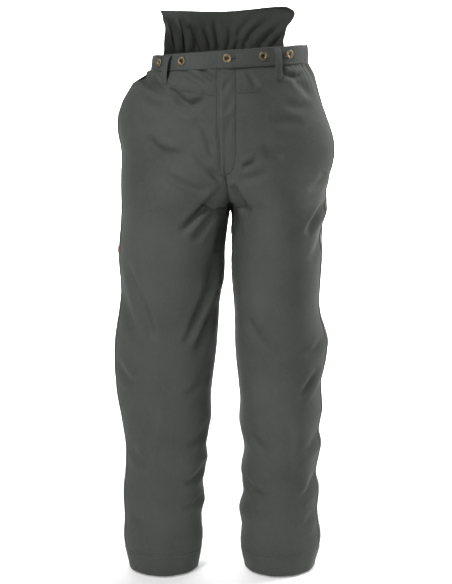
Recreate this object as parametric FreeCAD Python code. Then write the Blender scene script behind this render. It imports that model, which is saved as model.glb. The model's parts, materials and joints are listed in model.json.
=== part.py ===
import FreeCAD, Part
import math
import os

# Protective chainsaw trousers, worn shape, in millimetres.
# Origin: centre of the waistband's top opening. +Z up, the front faces -Y,
# +X is the wearer's left. Every cloth layer is a thin shell that follows one
# shared garment surface at its own inset (0 = outer face, positive = inwards).

# ---- driving dimensions --------------------------------------------------
BAND_HEIGHT = 33.0
BAND_THICK = 2.2
BAND_TILT = 0.07          # the waistband's rise per mm of X, as the trousers hang
TILT_FADE = -130.0        # height at which that tilt has died out
HEM_Z = -1062.0
CROTCH_Z = -300.0
CROTCH_POWER = 8.0        # how late the centre seam turns in under the crotch
KNEE_Z = -612.0
KNEE_MAX_DEG = 75.0
CLOTH = 1.4
SEAM_GAP = 0.2            # play between two panels that are sewn edge to edge

# (height, distance from the centre plane to the outer side seam)
OUTER_RIGHT = [(0, 140), (-33, 146), (-60, 176), (-90, 199), (-140, 211), (-240, 206), (-400, 213),
               (-500, 213), (-620, 225), (-740, 213), (-830, 206), (-990, 211), (-1062, 201)]
OUTER_LEFT = [(0, 160), (-33, 162), (-60, 174), (-100, 190), (-180, 213), (-250, 205), (-400, 196),
              (-500, 193), (-580, 205), (-700, 199), (-900, 193), (-1000, 198), (-1062, 189)]
# (height, distance from the centre line to the inseam), below the crotch
INNER = [(-300, 0), (-323, 2), (-404, 7), (-486, 13), (-652, 25), (-823, 37), (-997, 41), (-1062, 48)]
# (height, X of the line midway between the legs)
CENTRE = [(-230, 0), (-300, 9), (-323, 10), (-404, 6), (-650, 1), (-823, -1), (-950, -7), (-1062, -8)]
DEPTH_FRONT = [(0, 114), (-33, 117), (-80, 122), (-220, 122), (-300, 120), (-400, 112), (-620, 92),
               (-850, 76), (-1062, 70)]
DEPTH_BACK = [(0, 108), (-33, 112), (-100, 142), (-200, 158), (-300, 142), (-400, 122), (-620, 96),
              (-850, 84), (-1062, 80)]

# layers, as (outer inset, inner inset)
SHELL = (0.0, CLOTH)
BAND = (0.0, BAND_THICK)
PAD = (2.2, 6.2)
LINING = (9.2, 10.2)
LAP = (-2.2, -0.6)
TAB = (-3.0, -0.7)
FACING = (-0.2, 0.8)
ELASTIC = (3.4, 4.6)
POCKET = (11.2, 12.8)
HEM_FACING = (2.0, 3.0)
REAR_POCKET = (-2.1, -0.8)

# knee overlap: the thigh's front hangs over the shin, which is set in by SHIN_SET
KNEE_OVERLAP = 55.0
SHIN_SET = 3.2
KNEE_CLEAR = 4.0
KNEE_BACK_LAP = 12.0      # how far the cloth behind the knee hangs over the shin

# fly: the lap folds open about a straight line from the fly's base to the band's top
FLY_EDGE_X = -9.0
UNDER_LAP_X = 20.0        # the right waistband runs this far under the lap
FLY_BASE = (4.0, -240.0)
FLY_TOP = (24.0, -2.0)
FLY_AXIS_Y = -123.5
FLY_BOTTOM_Z = -236.0
FACING_BOTTOM = -110.0
FLY_GAP = 0.6
FLY_ROOM = 20.0           # extra room that pad and lining leave beside the zip

# zip, flat, behind the lap
ZIP_X = 4.0
ZIP_Y = -110.0
ZIP_TOP = -42.0
ZIP_BOTTOM = -196.0
TAPE_WIDTH = 14.0
TAPE_THICK = 0.6
TOOTH_PITCH = 3.2
TOOTH = (2.6, 2.4, 1.9)   # across, deep, high
SLIDER_LENGTH = 12.0
SLIDER_WIDTH = 9.6
SLIDER_DEPTH = 5.0
PULL = (5.0, 1.1, 22.0)   # wide, thick, long

# buttons
HEAD_R = 8.5
TACK_R = 1.5
BUTTON_Z = -15.0
BRACE_FRONT_X = [-124.0, -81.0, 71.0, 121.0]
BRACE_BACK_X = [-42.0, 42.0]
WAIST_BUTTON_X = 4.0
TAB_HOLE_PLAY = 3.4       # the tab swings off over the button head
TAB_HOLE_SHIFT = 0.9      # and its far edge passes first

# belt loops: strap size, its top and bottom, how far it stands off
LOOP_WIDTH = 14.0
LOOP_THICK = 1.6
LOOP_TOP = -3.0
LOOP_BOTTOM = -57.0
LOOP_STAND = 5.5
LOOP_CLEAR = 3.6          # play under its sewn ends

# kidney flap
FLAP_BASE_X = 124.0
FLAP_TOP_X = 136.0
FLAP_HEIGHT = 80.0
FLAP_SPREAD = 9.0         # how much further out the flap's top stands than its base

SIDES = {"right": -1.0, "left": 1.0}
OUTER = {"right": OUTER_RIGHT, "left": OUTER_LEFT}
POINTS = 13


# ---- the shared garment surface ------------------------------------------
def along(stations, z):
    """Smooth value at height z through a short list of (height, value) stations."""
    if z >= stations[0][0]:
        return float(stations[0][1])
    if z <= stations[-1][0]:
        return float(stations[-1][1])
    last = len(stations) - 1
    i = next(n for n in range(last) if stations[n][0] >= z >= stations[n + 1][0])
    slopes = []
    for n in (i, i + 1):
        low, high = max(n - 1, 0), min(n + 1, last)
        slopes.append((stations[high][1] - stations[low][1]) / (stations[high][0] - stations[low][0]))
    span = stations[i + 1][0] - stations[i][0]
    t = (z - stations[i][0]) / span
    return ((2 * t**3 - 3 * t**2 + 1) * stations[i][1] + (t**3 - 2 * t**2 + t) * span * slopes[0]
            + (3 * t**2 - 2 * t**3) * stations[i + 1][1] + (t**3 - t**2) * span * slopes[1])


def half_section(side, z):
    """Centre line X, then the centre and half-width of this side's half-tube at height z."""
    middle = along(CENTRE, z)
    outer = along(OUTER[side], z) - SIDES[side] * middle
    if z <= CROTCH_Z:
        inner = along(INNER, z)
        return middle, (outer + inner) / 2, (outer - inner) / 2
    lean = math.sqrt(max(0.0, min(1.0, (z / CROTCH_Z) ** CROTCH_POWER)))
    width = outer / (1 + lean)
    return middle, outer - width, width


def tilt(z):
    return BAND_TILT * max(0.0, min(1.0, 1 - z / TILT_FADE))


def depth(face, z):
    return along(DEPTH_FRONT if face == "front" else DEPTH_BACK, z)


def point_at(side, face, z, angle, inset):
    """Point on the garment; angle 0 is the side seam and 180 degrees the inseam."""
    middle, centre, width = half_section(side, z)
    x = middle + SIDES[side] * (centre + (width - inset) * math.cos(angle))
    y = (depth(face, z) - inset) * math.sin(angle) * (-1 if face == "front" else 1)
    return FreeCAD.Vector(x, y, z + tilt(z) * x)


def angle_for(side, z, x, inset=0.0):
    """Angle of the point of this side's section that lies at X = x."""
    middle, centre, width = half_section(side, z)
    cosine = (SIDES[side] * (x - middle) - centre) / (width - inset)
    return math.acos(max(-1.0, min(1.0, cosine)))


def normal_at(side, face, z, angle):
    _, _, width = half_section(side, z)
    deep = depth(face, z)
    way = -1 if face == "front" else 1
    return FreeCAD.Vector(SIDES[side] * math.cos(angle) / width, way * math.sin(angle) / deep, 0).normalize()


def side_of(x):
    return "left" if x > 0 else "right"


# ---- building shells -----------------------------------------------------
def section_wire(outside, inside):
    """Closed wire of one section: outer curve, end, inner curve, end."""
    edges = []
    for run in (outside, inside[::-1]):
        curve = Part.BSplineCurve()
        curve.interpolate(run)
        edges.append(curve.toShape())
    edges.insert(1, Part.makeLine(outside[-1], inside[-1]))
    edges.append(Part.makeLine(inside[0], outside[0]))
    return Part.Wire(edges)


def shell(side, face, heights, layer, start=None, end=None, set_in=None):
    """Cloth between two insets; start and end give the angles where it begins and stops."""
    wires = []
    for z in heights:
        extra = set_in(z) if set_in else 0.0
        runs = []
        for inset in layer:
            depth_in = inset + extra
            first = start(z, depth_in) if start else side_seam(side, z)
            last = end(z, depth_in) if end else centre_seam(side, z, depth_in)
            steps = [first + (last - first) * n / (POINTS - 1) for n in range(POINTS)]
            runs.append([point_at(side, face, z, angle, depth_in) for angle in steps])
        wires.append(section_wire(*runs))
    return outward_solid(Part.makeLoft(wires, True, True))


def outward_solid(solid):
    """The same solid with its faces turned outwards."""
    if solid.Volume < 0:
        solid.reverse()
    return solid


def side_seam(side, z):
    _, _, width = half_section(side, z)
    return SEAM_GAP / 2 / width


def centre_seam(side, z, inset):
    """Angle where a panel stops: at the centre plane, or at the inseam below the crotch."""
    middle, _, width = half_section(side, z)
    at_plane = angle_for(side, z, middle + SIDES[side] * SEAM_GAP / 2, inset)
    return min(at_plane, math.pi - SEAM_GAP / 2 / width)


def stop_at(side, distance):
    """An end angle that keeps this far (a function of height) from the centre line."""
    def end(z, inset):
        middle, _, _ = half_section(side, z)
        at_x = angle_for(side, z, middle + SIDES[side] * distance(z), inset)
        return min(at_x, centre_seam(side, z, inset))
    return end


def fixed_angle(degrees):
    return lambda z, inset: math.radians(degrees)


def heights_between(top, bottom, marks):
    """The two ends and the listed marks that lie between them."""
    return [top] + [z for z in marks if bottom < z < top - 1] + [bottom]


HIP_MARKS = [-46, -60, -75, -90, -110, -130, -155, -180, -205, -222, -238, -252, -265, -276, -285, -292,
             -297, -300, -310, -325, -345, -375, -410, -450, -490, -530, -575, -612]
SHIN_MARKS = [-650, -690, -710, -722, -760, -800, -850, -900, -950, -1000, -1030]


def save(shape, node):
    shape.exportStep(os.path.join("parts", node + ".step"))


# ---- fly -----------------------------------------------------------------
def fly_line_x(z):
    """X of the line about which the lap folds open, at height z."""
    share = (z - FLY_BASE[1]) / (FLY_TOP[1] - FLY_BASE[1])
    return FLY_BASE[0] + share * (FLY_TOP[0] - FLY_BASE[0])


def front_strip(x_low, x_high, heights, layer):
    """Cloth on the front between two X limits that may lie either side of the centre."""
    wires = []
    for z in heights:
        runs = []
        low, high = x_low(z), x_high(z)
        for inset in layer:
            run = []
            for n in range(POINTS):
                x = low + (high - low) * n / (POINTS - 1)
                side = side_of(x - half_section("left", z)[0])
                run.append(point_at(side, "front", z, angle_for(side, z, x, inset), inset))
            runs.append(run)
        wires.append(section_wire(*runs))
    return outward_solid(Part.makeLoft(wires, True, True))


def lap_edge(z):
    return FLY_EDGE_X


def lap_fold(z):
    return fly_line_x(z) - FLY_GAP


def facing_edge(z):
    return ZIP_X + SLIDER_WIDTH / 2 + 2.0


def facing_fold(z):
    return fly_line_x(z) - 2 * FLY_GAP


def make_fly():
    marks = [-60, -90, -120, -150, -180, -205, -222]
    lap_rows = heights_between(-BAND_HEIGHT - FLY_GAP, FLY_BOTTOM_Z, marks)
    save(front_strip(lap_edge, lap_fold, lap_rows, LAP), "fly_lap")

    facing_rows = heights_between(-BAND_HEIGHT - 3, FACING_BOTTOM, marks)
    save(front_strip(facing_edge, facing_fold, facing_rows, FACING), "fly_facing")

    tab = front_strip(lap_edge, lap_fold, [0.0, -BAND_HEIGHT / 2, -BAND_HEIGHT], TAB)
    button, outward = button_seat(WAIST_BUTTON_X + TAB_HOLE_SHIFT, "front")
    hole = Part.makeCylinder(HEAD_R + TAB_HOLE_PLAY, 12, button - outward * 2, outward)
    save(tab.cut(hole), "waistband_tab")

    shield = Part.makeBox(34, 1.0, 160, FreeCAD.Vector(-14, ZIP_Y + 5.0, -204))
    save(shield, "fly_shield")


def make_zip():
    length = ZIP_TOP - ZIP_BOTTOM
    across, deep, high = TOOTH
    for side, way in SIDES.items():
        near = ZIP_X + way * 1.4
        far = ZIP_X + way * (1.4 + TAPE_WIDTH)
        corner = FreeCAD.Vector(min(near, far) + way * across, ZIP_Y - TAPE_THICK / 2, ZIP_BOTTOM - 4)
        tape = Part.makeBox(TAPE_WIDTH, TAPE_THICK, length + 8, corner)
        save(tape, "zip_tape_" + side)
        teeth = []
        shift = 0.0 if side == "right" else TOOTH_PITCH / 2
        left_edge = min(ZIP_X + way * 0.9, ZIP_X + way * (0.9 + across))
        z = ZIP_BOTTOM + 2 + shift
        while z + high < ZIP_TOP - 6:
            teeth.append(Part.makeBox(across, deep, high, FreeCAD.Vector(left_edge, ZIP_Y - deep / 2, z)))
            z += TOOTH_PITCH
        save(Part.makeCompound(teeth), "zip_teeth_" + side)
    stop = Part.makeBox(8, 3.0, 1.5, FreeCAD.Vector(ZIP_X - 4, ZIP_Y - 1.5, ZIP_BOTTOM))
    save(stop, "zip_bottom_stop")


def make_slider():
    """Two plates joined by the divider between the rows of teeth, with a bridge for the pull."""
    top = ZIP_TOP + 1.0
    bottom = top - SLIDER_LENGTH
    plate = 1.0
    front_y = ZIP_Y - SLIDER_DEPTH / 2
    corner = FreeCAD.Vector(ZIP_X - SLIDER_WIDTH / 2, front_y, bottom)
    front = Part.makeBox(SLIDER_WIDTH, plate, SLIDER_LENGTH, corner)
    back = front.translated(FreeCAD.Vector(0, SLIDER_DEPTH - plate, 0))
    divider = Part.makeBox(1.2, SLIDER_DEPTH, 4.0, FreeCAD.Vector(ZIP_X - 0.6, front_y, top - 4.0))
    sideways = FreeCAD.Vector(1, 0, 0)
    pivot_z = slider_pivot_z()
    lugs = []
    for way in (-1, 1):
        corner = FreeCAD.Vector(ZIP_X + way * 3.6 - 0.5, front_y - 3.0, pivot_z - 2.0)
        lugs.append(Part.makeBox(1.0, 3.0, 4.0, corner))
    pin = Part.makeCylinder(0.7, 7.0, FreeCAD.Vector(ZIP_X - 3.5, front_y - 2.0, pivot_z), sideways)
    slider = front.multiFuse([back, divider] + lugs + [pin]).removeSplitter()
    save(slider, "zip_slider")

    wide, thick, long = PULL
    end = FreeCAD.Vector(ZIP_X - wide / 2, front_y - 2.0, pivot_z)
    eye = Part.makeCylinder(1.4, wide, end, sideways)
    blade = Part.makeBox(wide, thick, long, end - FreeCAD.Vector(0, thick / 2, long))
    hole = Part.makeCylinder(0.76, wide + 2, end - sideways, sideways)
    save(eye.fuse(blade).cut(hole).removeSplitter(), "zip_pull")


def slider_pivot_z():
    return ZIP_TOP + 1.0 - SLIDER_LENGTH / 2


# ---- buttons -------------------------------------------------------------
def button_seat(x, face):
    """Point on the waistband's outer face under a button, and the outward normal there."""
    side = side_of(x)
    angle = angle_for(side, BUTTON_Z, x)
    return point_at(side, face, BUTTON_Z, angle, 0.0), normal_at(side, face, BUTTON_Z, angle)


def place(shape, point, outward):
    turned = shape.copy()
    turned.Placement = FreeCAD.Placement(point, FreeCAD.Rotation(FreeCAD.Vector(0, 0, 1), outward))
    return turned


def revolved(profile):
    points = [FreeCAD.Vector(r, 0, h) for r, h in profile + profile[:1]]
    return Part.Face(Part.makePolygon(points)).revolve(FreeCAD.Vector(0, 0, 0), FreeCAD.Vector(0, 0, 1), 360)


def button_head(lift):
    """Dished ring head with a straight rim and a neck that runs on the tack's shaft."""
    bore = TACK_R + 0.06
    profile = [(bore, 0.5), (3.2, 0.5), (3.2, 2.0), (7.6, 2.0), (HEAD_R, 2.5), (HEAD_R, 4.1), (7.6, 4.9),
               (6.2, 5.1), (4.8, 4.7), (3.9, 3.4), (3.6, 2.9), (bore, 2.9)]
    return revolved([(r, h + lift) for r, h in profile])


def tack(lift):
    """Back plate, shaft through the cloth, and the swaged tip that keeps the head on."""
    profile = [(0, -BAND_THICK - 1.3), (4.5, -BAND_THICK - 1.3), (4.5, -BAND_THICK - 0.5),
               (TACK_R, -BAND_THICK - 0.5), (TACK_R, 3.0 + lift), (2.4, 3.0 + lift), (1.8, 3.6 + lift),
               (0, 3.6 + lift)]
    return revolved(profile)


def make_buttons():
    """Returns the shaft holes that the waistband pieces need."""
    seats = [("waist_button", WAIST_BUTTON_X, "front", 3.2)]
    for number, x in enumerate(BRACE_FRONT_X, 1):
        seats.append(("brace_button_front_%d" % number, x, "front", 0.0))
    for number, x in enumerate(BRACE_BACK_X, 1):
        seats.append(("brace_button_back_%d" % number, x, "back", 0.0))
    holes, brace_tacks = [], []
    for name, x, face, lift in seats:
        point, outward = button_seat(x, face)
        save(place(button_head(lift), point, outward), name)
        pin = place(tack(lift), point, outward)
        if name == "waist_button":
            save(pin, "waist_button_tack")
        else:
            brace_tacks.append(pin)
        holes.append(Part.makeCylinder(TACK_R + 0.2, 12, point - outward * 6, outward))
    save(Part.makeCompound(brace_tacks), "brace_button_tacks")
    return holes


# ---- waistband, loops and flap -------------------------------------------
def make_waistband(holes):
    rows = [0.0, -BAND_HEIGHT / 2, -BAND_HEIGHT]
    right = shell("right", "front", rows, BAND)
    under_lap = front_strip(lambda z: 0.15, lambda z: UNDER_LAP_X, rows, BAND)
    save(right.fuse(under_lap).cut(Part.makeCompound(holes)).removeSplitter(), "waistband_front_right")
    left = shell("left", "front", rows, BAND, end=stop_at("left", lambda z: fly_line_x(z) + FLY_GAP))
    save(left.cut(Part.makeCompound(holes)), "waistband_front_left")
    for side in SIDES:
        half = shell(side, "back", rows, BAND)
        save(half.cut(Part.makeCompound(holes)), "waistband_back_" + side)
        inner_rows = [-6.0, -BAND_HEIGHT + 6.0]
        strip = shell(side, "back", inner_rows, ELASTIC, start=fixed_angle(4), end=elastic_end(side))
        save(strip, "waist_elastic_" + side)


def elastic_end(side):
    """The elastic stops short of the rear brace button's tack."""
    return stop_at(side, lambda z: 52.0)


def belt_loop(side, face, x):
    """A flat strap sewn down at both ends and standing off the waistband between them."""
    middle = angle_for(side, -BAND_HEIGHT / 2, x)
    outward = normal_at(side, face, -BAND_HEIGHT / 2, middle)
    across = outward.cross(FreeCAD.Vector(0, 0, 1))
    top = point_at(side, face, LOOP_TOP, angle_for(side, LOOP_TOP, x), 0.0)
    bottom = point_at(side, face, LOOP_BOTTOM, angle_for(side, LOOP_BOTTOM, x), 0.0)
    sewn = LOOP_CLEAR
    proud = LOOP_CLEAR + LOOP_STAND
    outline = [(top, 0, sewn), (top, -6, sewn), (top, -6, proud), (bottom, 6, proud), (bottom, 6, sewn),
               (bottom, 0, sewn), (bottom, 0, sewn + LOOP_THICK), (bottom, 4, proud + LOOP_THICK),
               (top, -4, proud + LOOP_THICK), (top, 0, sewn + LOOP_THICK)]
    flat = []
    for seat, rise, off in outline:
        reach = (seat - top).dot(outward) + off
        height = seat.z + rise
        flat.append(top + outward * reach + FreeCAD.Vector(0, 0, height - top.z) - across * (LOOP_WIDTH / 2))
    return Part.Face(Part.makePolygon(flat + flat[:1])).extrude(across * LOOP_WIDTH)


def make_loops():
    save(belt_loop("right", "front", -104.0), "belt_loop_front_right")
    save(belt_loop("left", "front", 96.0), "belt_loop_front_left")
    save(belt_loop("right", "back", -112.0), "belt_loop_back_right")
    save(belt_loop("left", "back", 118.0), "belt_loop_back_left")
    save(belt_loop("left", "back", 0.5), "belt_loop_centre_back")


def flap_section(share, inset):
    """Points of the flap at a share of its height, following the back of the waist."""
    reach = FLAP_BASE_X + (FLAP_TOP_X - FLAP_BASE_X) * share
    points = []
    for n in range(2 * POINTS - 1):
        x = -reach + 2 * reach * n / (2 * POINTS - 2)
        side = side_of(x)
        angle = angle_for(side, 0.0, x * (1 - 0.06 * share))
        on_band = point_at(side, "back", 0.0, angle, inset)
        outward = normal_at(side, "back", 0.0, angle)
        spread = FLAP_SPREAD * share**2
        lift = 2.0 + FLAP_HEIGHT * share
        points.append(FreeCAD.Vector(x, on_band.y + outward.y * spread, BAND_TILT * x * (1 - share) + lift))
    return points


def make_flap():
    layers = {"kidney_flap": (0.0, CLOTH), "kidney_flap_lining": (CLOTH + 0.6, 2 * CLOTH + 0.6)}
    for node, (near, far) in layers.items():
        wires = [section_wire(flap_section(n / 6, near), flap_section(n / 6, far)) for n in range(7)]
        save(outward_solid(Part.makeLoft(wires, True, True)), node)


# ---- legs ----------------------------------------------------------------
def knee_wedge(lift):
    """Everything behind and below a plane that rises to the back through the knee axis."""
    reach = 400.0
    slope = math.radians(KNEE_MAX_DEG / 2 + 1)
    base = FreeCAD.Vector(0, 0, KNEE_Z + lift)
    far = base + FreeCAD.Vector(0, reach * math.cos(slope), reach * math.sin(slope))
    low = FreeCAD.Vector(0, 0, KNEE_Z - reach)
    low_far = FreeCAD.Vector(0, far.y, KNEE_Z - reach)
    shift = FreeCAD.Vector(-reach, -1.0, 0)
    outline = [p + shift for p in (base, far, low_far, low, base)]
    return Part.Face(Part.makePolygon(outline)).extrude(FreeCAD.Vector(2 * reach, 0, 0))


def inner_end(side, layer, fly_room=0.0):
    """Where an inner layer stops: by its own inset from the centre, further out beside the zip."""
    def distance(z):
        share = max(0.0, min(1.0, (z + 250.0) / 35.0))
        return layer[1] + 1.0 + fly_room * share
    return stop_at(side, distance)


def make_thigh(side):
    top = -BAND_HEIGHT - 0.4
    front_rows = heights_between(top, KNEE_Z - KNEE_OVERLAP, HIP_MARKS)
    front_end = None
    if side == "left":
        front_end = stop_at(side, lambda z: max(SEAM_GAP / 2, fly_line_x(z) + FLY_GAP))
    save(shell(side, "front", front_rows, SHELL, end=front_end), side + "_front_thigh_panel")

    back_rows = heights_between(top, KNEE_Z, HIP_MARKS)
    back = shell(side, "back", back_rows, SHELL)
    save(back.cut(knee_wedge(KNEE_CLEAR)), side + "_back_thigh_panel")

    knee_rows = [KNEE_Z + 90, KNEE_Z + 37, KNEE_Z, KNEE_Z - KNEE_BACK_LAP]
    knee_back = shell(side, "back", knee_rows, SHELL)
    save(knee_back.common(knee_wedge(KNEE_CLEAR - FLY_GAP)), side + "_back_knee_panel")

    pad_rows = heights_between(-96.0, KNEE_Z + 2, HIP_MARKS)
    pad = shell(side, "front", pad_rows, PAD, start=fixed_angle(6), end=inner_end(side, PAD, FLY_ROOM))
    save(pad, side + "_thigh_pad")

    lining_rows = heights_between(top - 2, KNEE_Z + 110, HIP_MARKS)
    lining = shell(side, "front", lining_rows, LINING, end=inner_end(side, LINING, FLY_ROOM))
    lining_back = shell(side, "back", lining_rows, LINING, end=inner_end(side, LINING))
    save(lining, side + "_front_lining")
    save(lining_back, side + "_back_lining")


def shin_set(z):
    """The shin cloth is set in where the thigh hangs over it, and eases out below."""
    share = max(0.0, min(1.0, (z - (KNEE_Z - KNEE_OVERLAP - 50)) / 40.0))
    return SHIN_SET * share


def make_shin(side):
    rows = heights_between(KNEE_Z - 1, HEM_Z, SHIN_MARKS)
    for face in ("front", "back"):
        save(shell(side, face, rows, SHELL, set_in=shin_set), side + "_" + face + "_shin_panel")
        facing_rows = [HEM_Z + 46, HEM_Z + 23, HEM_Z + 0.6]
        save(shell(side, face, facing_rows, HEM_FACING), side + "_" + face + "_hem_facing")
    pad_rows = heights_between(KNEE_Z - 3, HEM_Z + 60, SHIN_MARKS)
    pad = shell(side, "front", pad_rows, PAD, start=fixed_angle(6), end=lambda z, inset: math.radians(174),
                set_in=shin_set)
    save(pad, side + "_shin_pad")


def make_pockets():
    for side in SIDES:
        rows = heights_between(-62.0, -240.0, HIP_MARKS)
        bag = shell(side, "front", rows, POCKET, start=fixed_angle(12), end=fixed_angle(66))
        save(bag, side + "_pocket_bag")
    rows = heights_between(-112.0, -250.0, HIP_MARKS)
    rear = shell("right", "back", rows, REAR_POCKET, start=fixed_angle(48), end=fixed_angle(78))
    save(rear, "rear_pocket")


def make_side_tab():
    """A small woven tab caught in the right side seam."""
    z = -392.0
    edge = point_at("right", "front", z, 0.12, 0.0)
    tab = Part.makeBox(1.2, 9.0, 15.0, FreeCAD.Vector(edge.x - 1.7, edge.y - 4.5, z - 7.5))
    save(tab, "side_tab")


def main():
    os.makedirs("parts", exist_ok=True)
    holes = make_buttons()
    make_waistband(holes)
    make_fly()
    make_zip()
    make_slider()
    make_loops()
    make_flap()
    for side in SIDES:
        make_thigh(side)
        make_shin(side)
    make_pockets()
    make_side_tab()


main()
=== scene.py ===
import json
import math

import bpy
import numpy as np
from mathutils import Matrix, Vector
from mathutils.bvhtree import BVHTree


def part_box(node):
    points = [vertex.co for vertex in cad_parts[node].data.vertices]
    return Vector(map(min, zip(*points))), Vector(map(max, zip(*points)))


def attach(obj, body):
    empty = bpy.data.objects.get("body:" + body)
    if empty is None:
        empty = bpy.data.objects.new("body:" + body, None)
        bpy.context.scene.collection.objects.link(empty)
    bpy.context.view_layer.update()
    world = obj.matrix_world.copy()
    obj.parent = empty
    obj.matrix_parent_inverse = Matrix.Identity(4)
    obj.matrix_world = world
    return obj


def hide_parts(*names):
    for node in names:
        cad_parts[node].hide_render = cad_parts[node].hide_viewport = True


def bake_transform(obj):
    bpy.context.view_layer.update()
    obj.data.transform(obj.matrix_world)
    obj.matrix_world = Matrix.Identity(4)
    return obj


# Protective chainsaw trousers: the cloth, stitching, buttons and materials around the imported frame.
# Garment sizes are in millimetres, as the pattern is drawn, and MM turns them into metres.

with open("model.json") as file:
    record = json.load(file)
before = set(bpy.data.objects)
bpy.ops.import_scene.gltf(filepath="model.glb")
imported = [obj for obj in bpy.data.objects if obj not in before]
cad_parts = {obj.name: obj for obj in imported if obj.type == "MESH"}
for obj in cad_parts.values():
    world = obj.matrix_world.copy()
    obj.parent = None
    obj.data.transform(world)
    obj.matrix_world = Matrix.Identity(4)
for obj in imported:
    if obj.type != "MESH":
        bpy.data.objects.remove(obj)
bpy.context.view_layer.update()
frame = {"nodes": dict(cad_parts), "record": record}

MM = 0.001
HEM_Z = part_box("right_front_shin_panel")[0][2] / MM
JOINTS = {joint["name"]: joint for joint in frame["record"]["behaviour"]["joints"]}
KNEE_Z = JOINTS["right_knee"]["pos_m"][2] / MM
BAND_HEIGHT = 33.0
BAND_TILT = 0.07
TILT_FADE = -130.0
CROTCH_Z = -300.0
CROTCH_POWER = 8.0
LEG_AXIS_X = 100.0
HEM_FOLD = 45.0
CLOTH = 1.1
SEAM_GAP = 0.2

# the garment's pattern, shared with the frame: (height, distance)
OUTER = {
    "right": [(0, 140), (-33, 146), (-60, 176), (-90, 199), (-140, 211), (-240, 206), (-400, 213),
              (-500, 213), (-620, 225), (-740, 213), (-830, 206), (-990, 211), (-1062, 201)],
    "left": [(0, 160), (-33, 162), (-60, 174), (-100, 190), (-180, 213), (-250, 205), (-400, 196),
             (-500, 193), (-580, 205), (-700, 199), (-900, 193), (-1000, 198), (-1062, 189)],
}
INNER = [(-300, 0), (-323, 2), (-404, 7), (-486, 13), (-652, 25), (-823, 37), (-997, 41), (-1062, 48)]
CENTRE = [(-230, 0), (-300, 9), (-323, 10), (-404, 6), (-650, 1), (-823, -1), (-950, -7), (-1062, -8)]
DEPTH = {
    "front": [(0, 114), (-33, 117), (-80, 122), (-220, 122), (-300, 120), (-400, 112), (-620, 92),
              (-850, 76), (-1062, 70)],
    "back": [(0, 108), (-33, 112), (-100, 142), (-200, 158), (-300, 142), (-400, 122), (-620, 96),
             (-850, 84), (-1062, 80)],
}
SIDES = {"right": -1.0, "left": 1.0}
TO_FRONT = np.array((0, -1.0, 0))
TO_BACK = np.array((0, 1.0, 0))

# fly
FLY_EDGE_X = -9.0
FLY_STITCH_X = 20.0
FLY_CURVE_TOP = -190.0
FLY_BOTTOM = -236.0
LAP_RAISE = 3.6
UNDER_LAP_X = 14.0
BUTTON_Z = -15.0

TROUSERS = "trousers"


# ---- garment surface -----------------------------------------------------
def along(stations, z):
    """Smooth value at height z through a short list of (height, value) stations."""
    if z >= stations[0][0]:
        return float(stations[0][1])
    if z <= stations[-1][0]:
        return float(stations[-1][1])
    last = len(stations) - 1
    i = next(n for n in range(last) if stations[n][0] >= z >= stations[n + 1][0])
    slopes = []
    for n in (i, i + 1):
        low, high = max(n - 1, 0), min(n + 1, last)
        slopes.append((stations[high][1] - stations[low][1]) / (stations[high][0] - stations[low][0]))
    span = stations[i + 1][0] - stations[i][0]
    t = (z - stations[i][0]) / span
    return ((2 * t**3 - 3 * t**2 + 1) * stations[i][1] + (t**3 - 2 * t**2 + t) * span * slopes[0]
            + (3 * t**2 - 2 * t**3) * stations[i + 1][1] + (t**3 - t**2) * span * slopes[1])


def rising(stations, t):
    """Smooth value through stations given in rising order."""
    return along([(-a, b) for a, b in stations], -t)


def half_section(side, z):
    middle = along(CENTRE, z)
    outer = along(OUTER[side], z) - SIDES[side] * middle
    if z <= CROTCH_Z:
        inner = along(INNER, z)
        return middle, (outer + inner) / 2, (outer - inner) / 2
    lean = math.sqrt(max(0.0, min(1.0, (z / CROTCH_Z) ** CROTCH_POWER)))
    width = outer / (1 + lean)
    return middle, outer - width, width


def tilt(z):
    return BAND_TILT * max(0.0, min(1.0, 1 - z / TILT_FADE))


def point_at(side, face, z, angle, inset=0.0):
    middle, centre, width = half_section(side, z)
    x = middle + SIDES[side] * (centre + (width - inset) * math.cos(angle))
    y = (along(DEPTH[face], z) - inset) * math.sin(angle) * (-1 if face == "front" else 1)
    return np.array((x, y, z + tilt(z) * x))


def angle_for(side, z, x, inset=0.0):
    middle, centre, width = half_section(side, z)
    return math.acos(max(-1.0, min(1.0, (SIDES[side] * (x - middle) - centre) / (width - inset))))


def normal_at(side, face, z, angle):
    _, _, width = half_section(side, z)
    way = -1 if face == "front" else 1
    n = np.array((SIDES[side] * math.cos(angle) / width, way * math.sin(angle) / along(DEPTH[face], z), 0.0))
    return n / np.linalg.norm(n)


def side_of(x):
    return "left" if x > 0 else "right"


def seam_angle(side, z, x):
    """Angle at which the surface has this X, but never past the inseam."""
    _, _, width = half_section(side, z)
    return min(angle_for(side, z, x), math.pi - SEAM_GAP / 2 / width)


def fly_curve(z):
    """X of the fly's J-shaped stitching at height z."""
    if z >= FLY_CURVE_TOP:
        return FLY_STITCH_X
    share = min(1.0, (FLY_CURVE_TOP - z) / (FLY_CURVE_TOP - FLY_BOTTOM))
    return max(SEAM_GAP / 2, FLY_STITCH_X * math.sqrt(1 - share**2))


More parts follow.
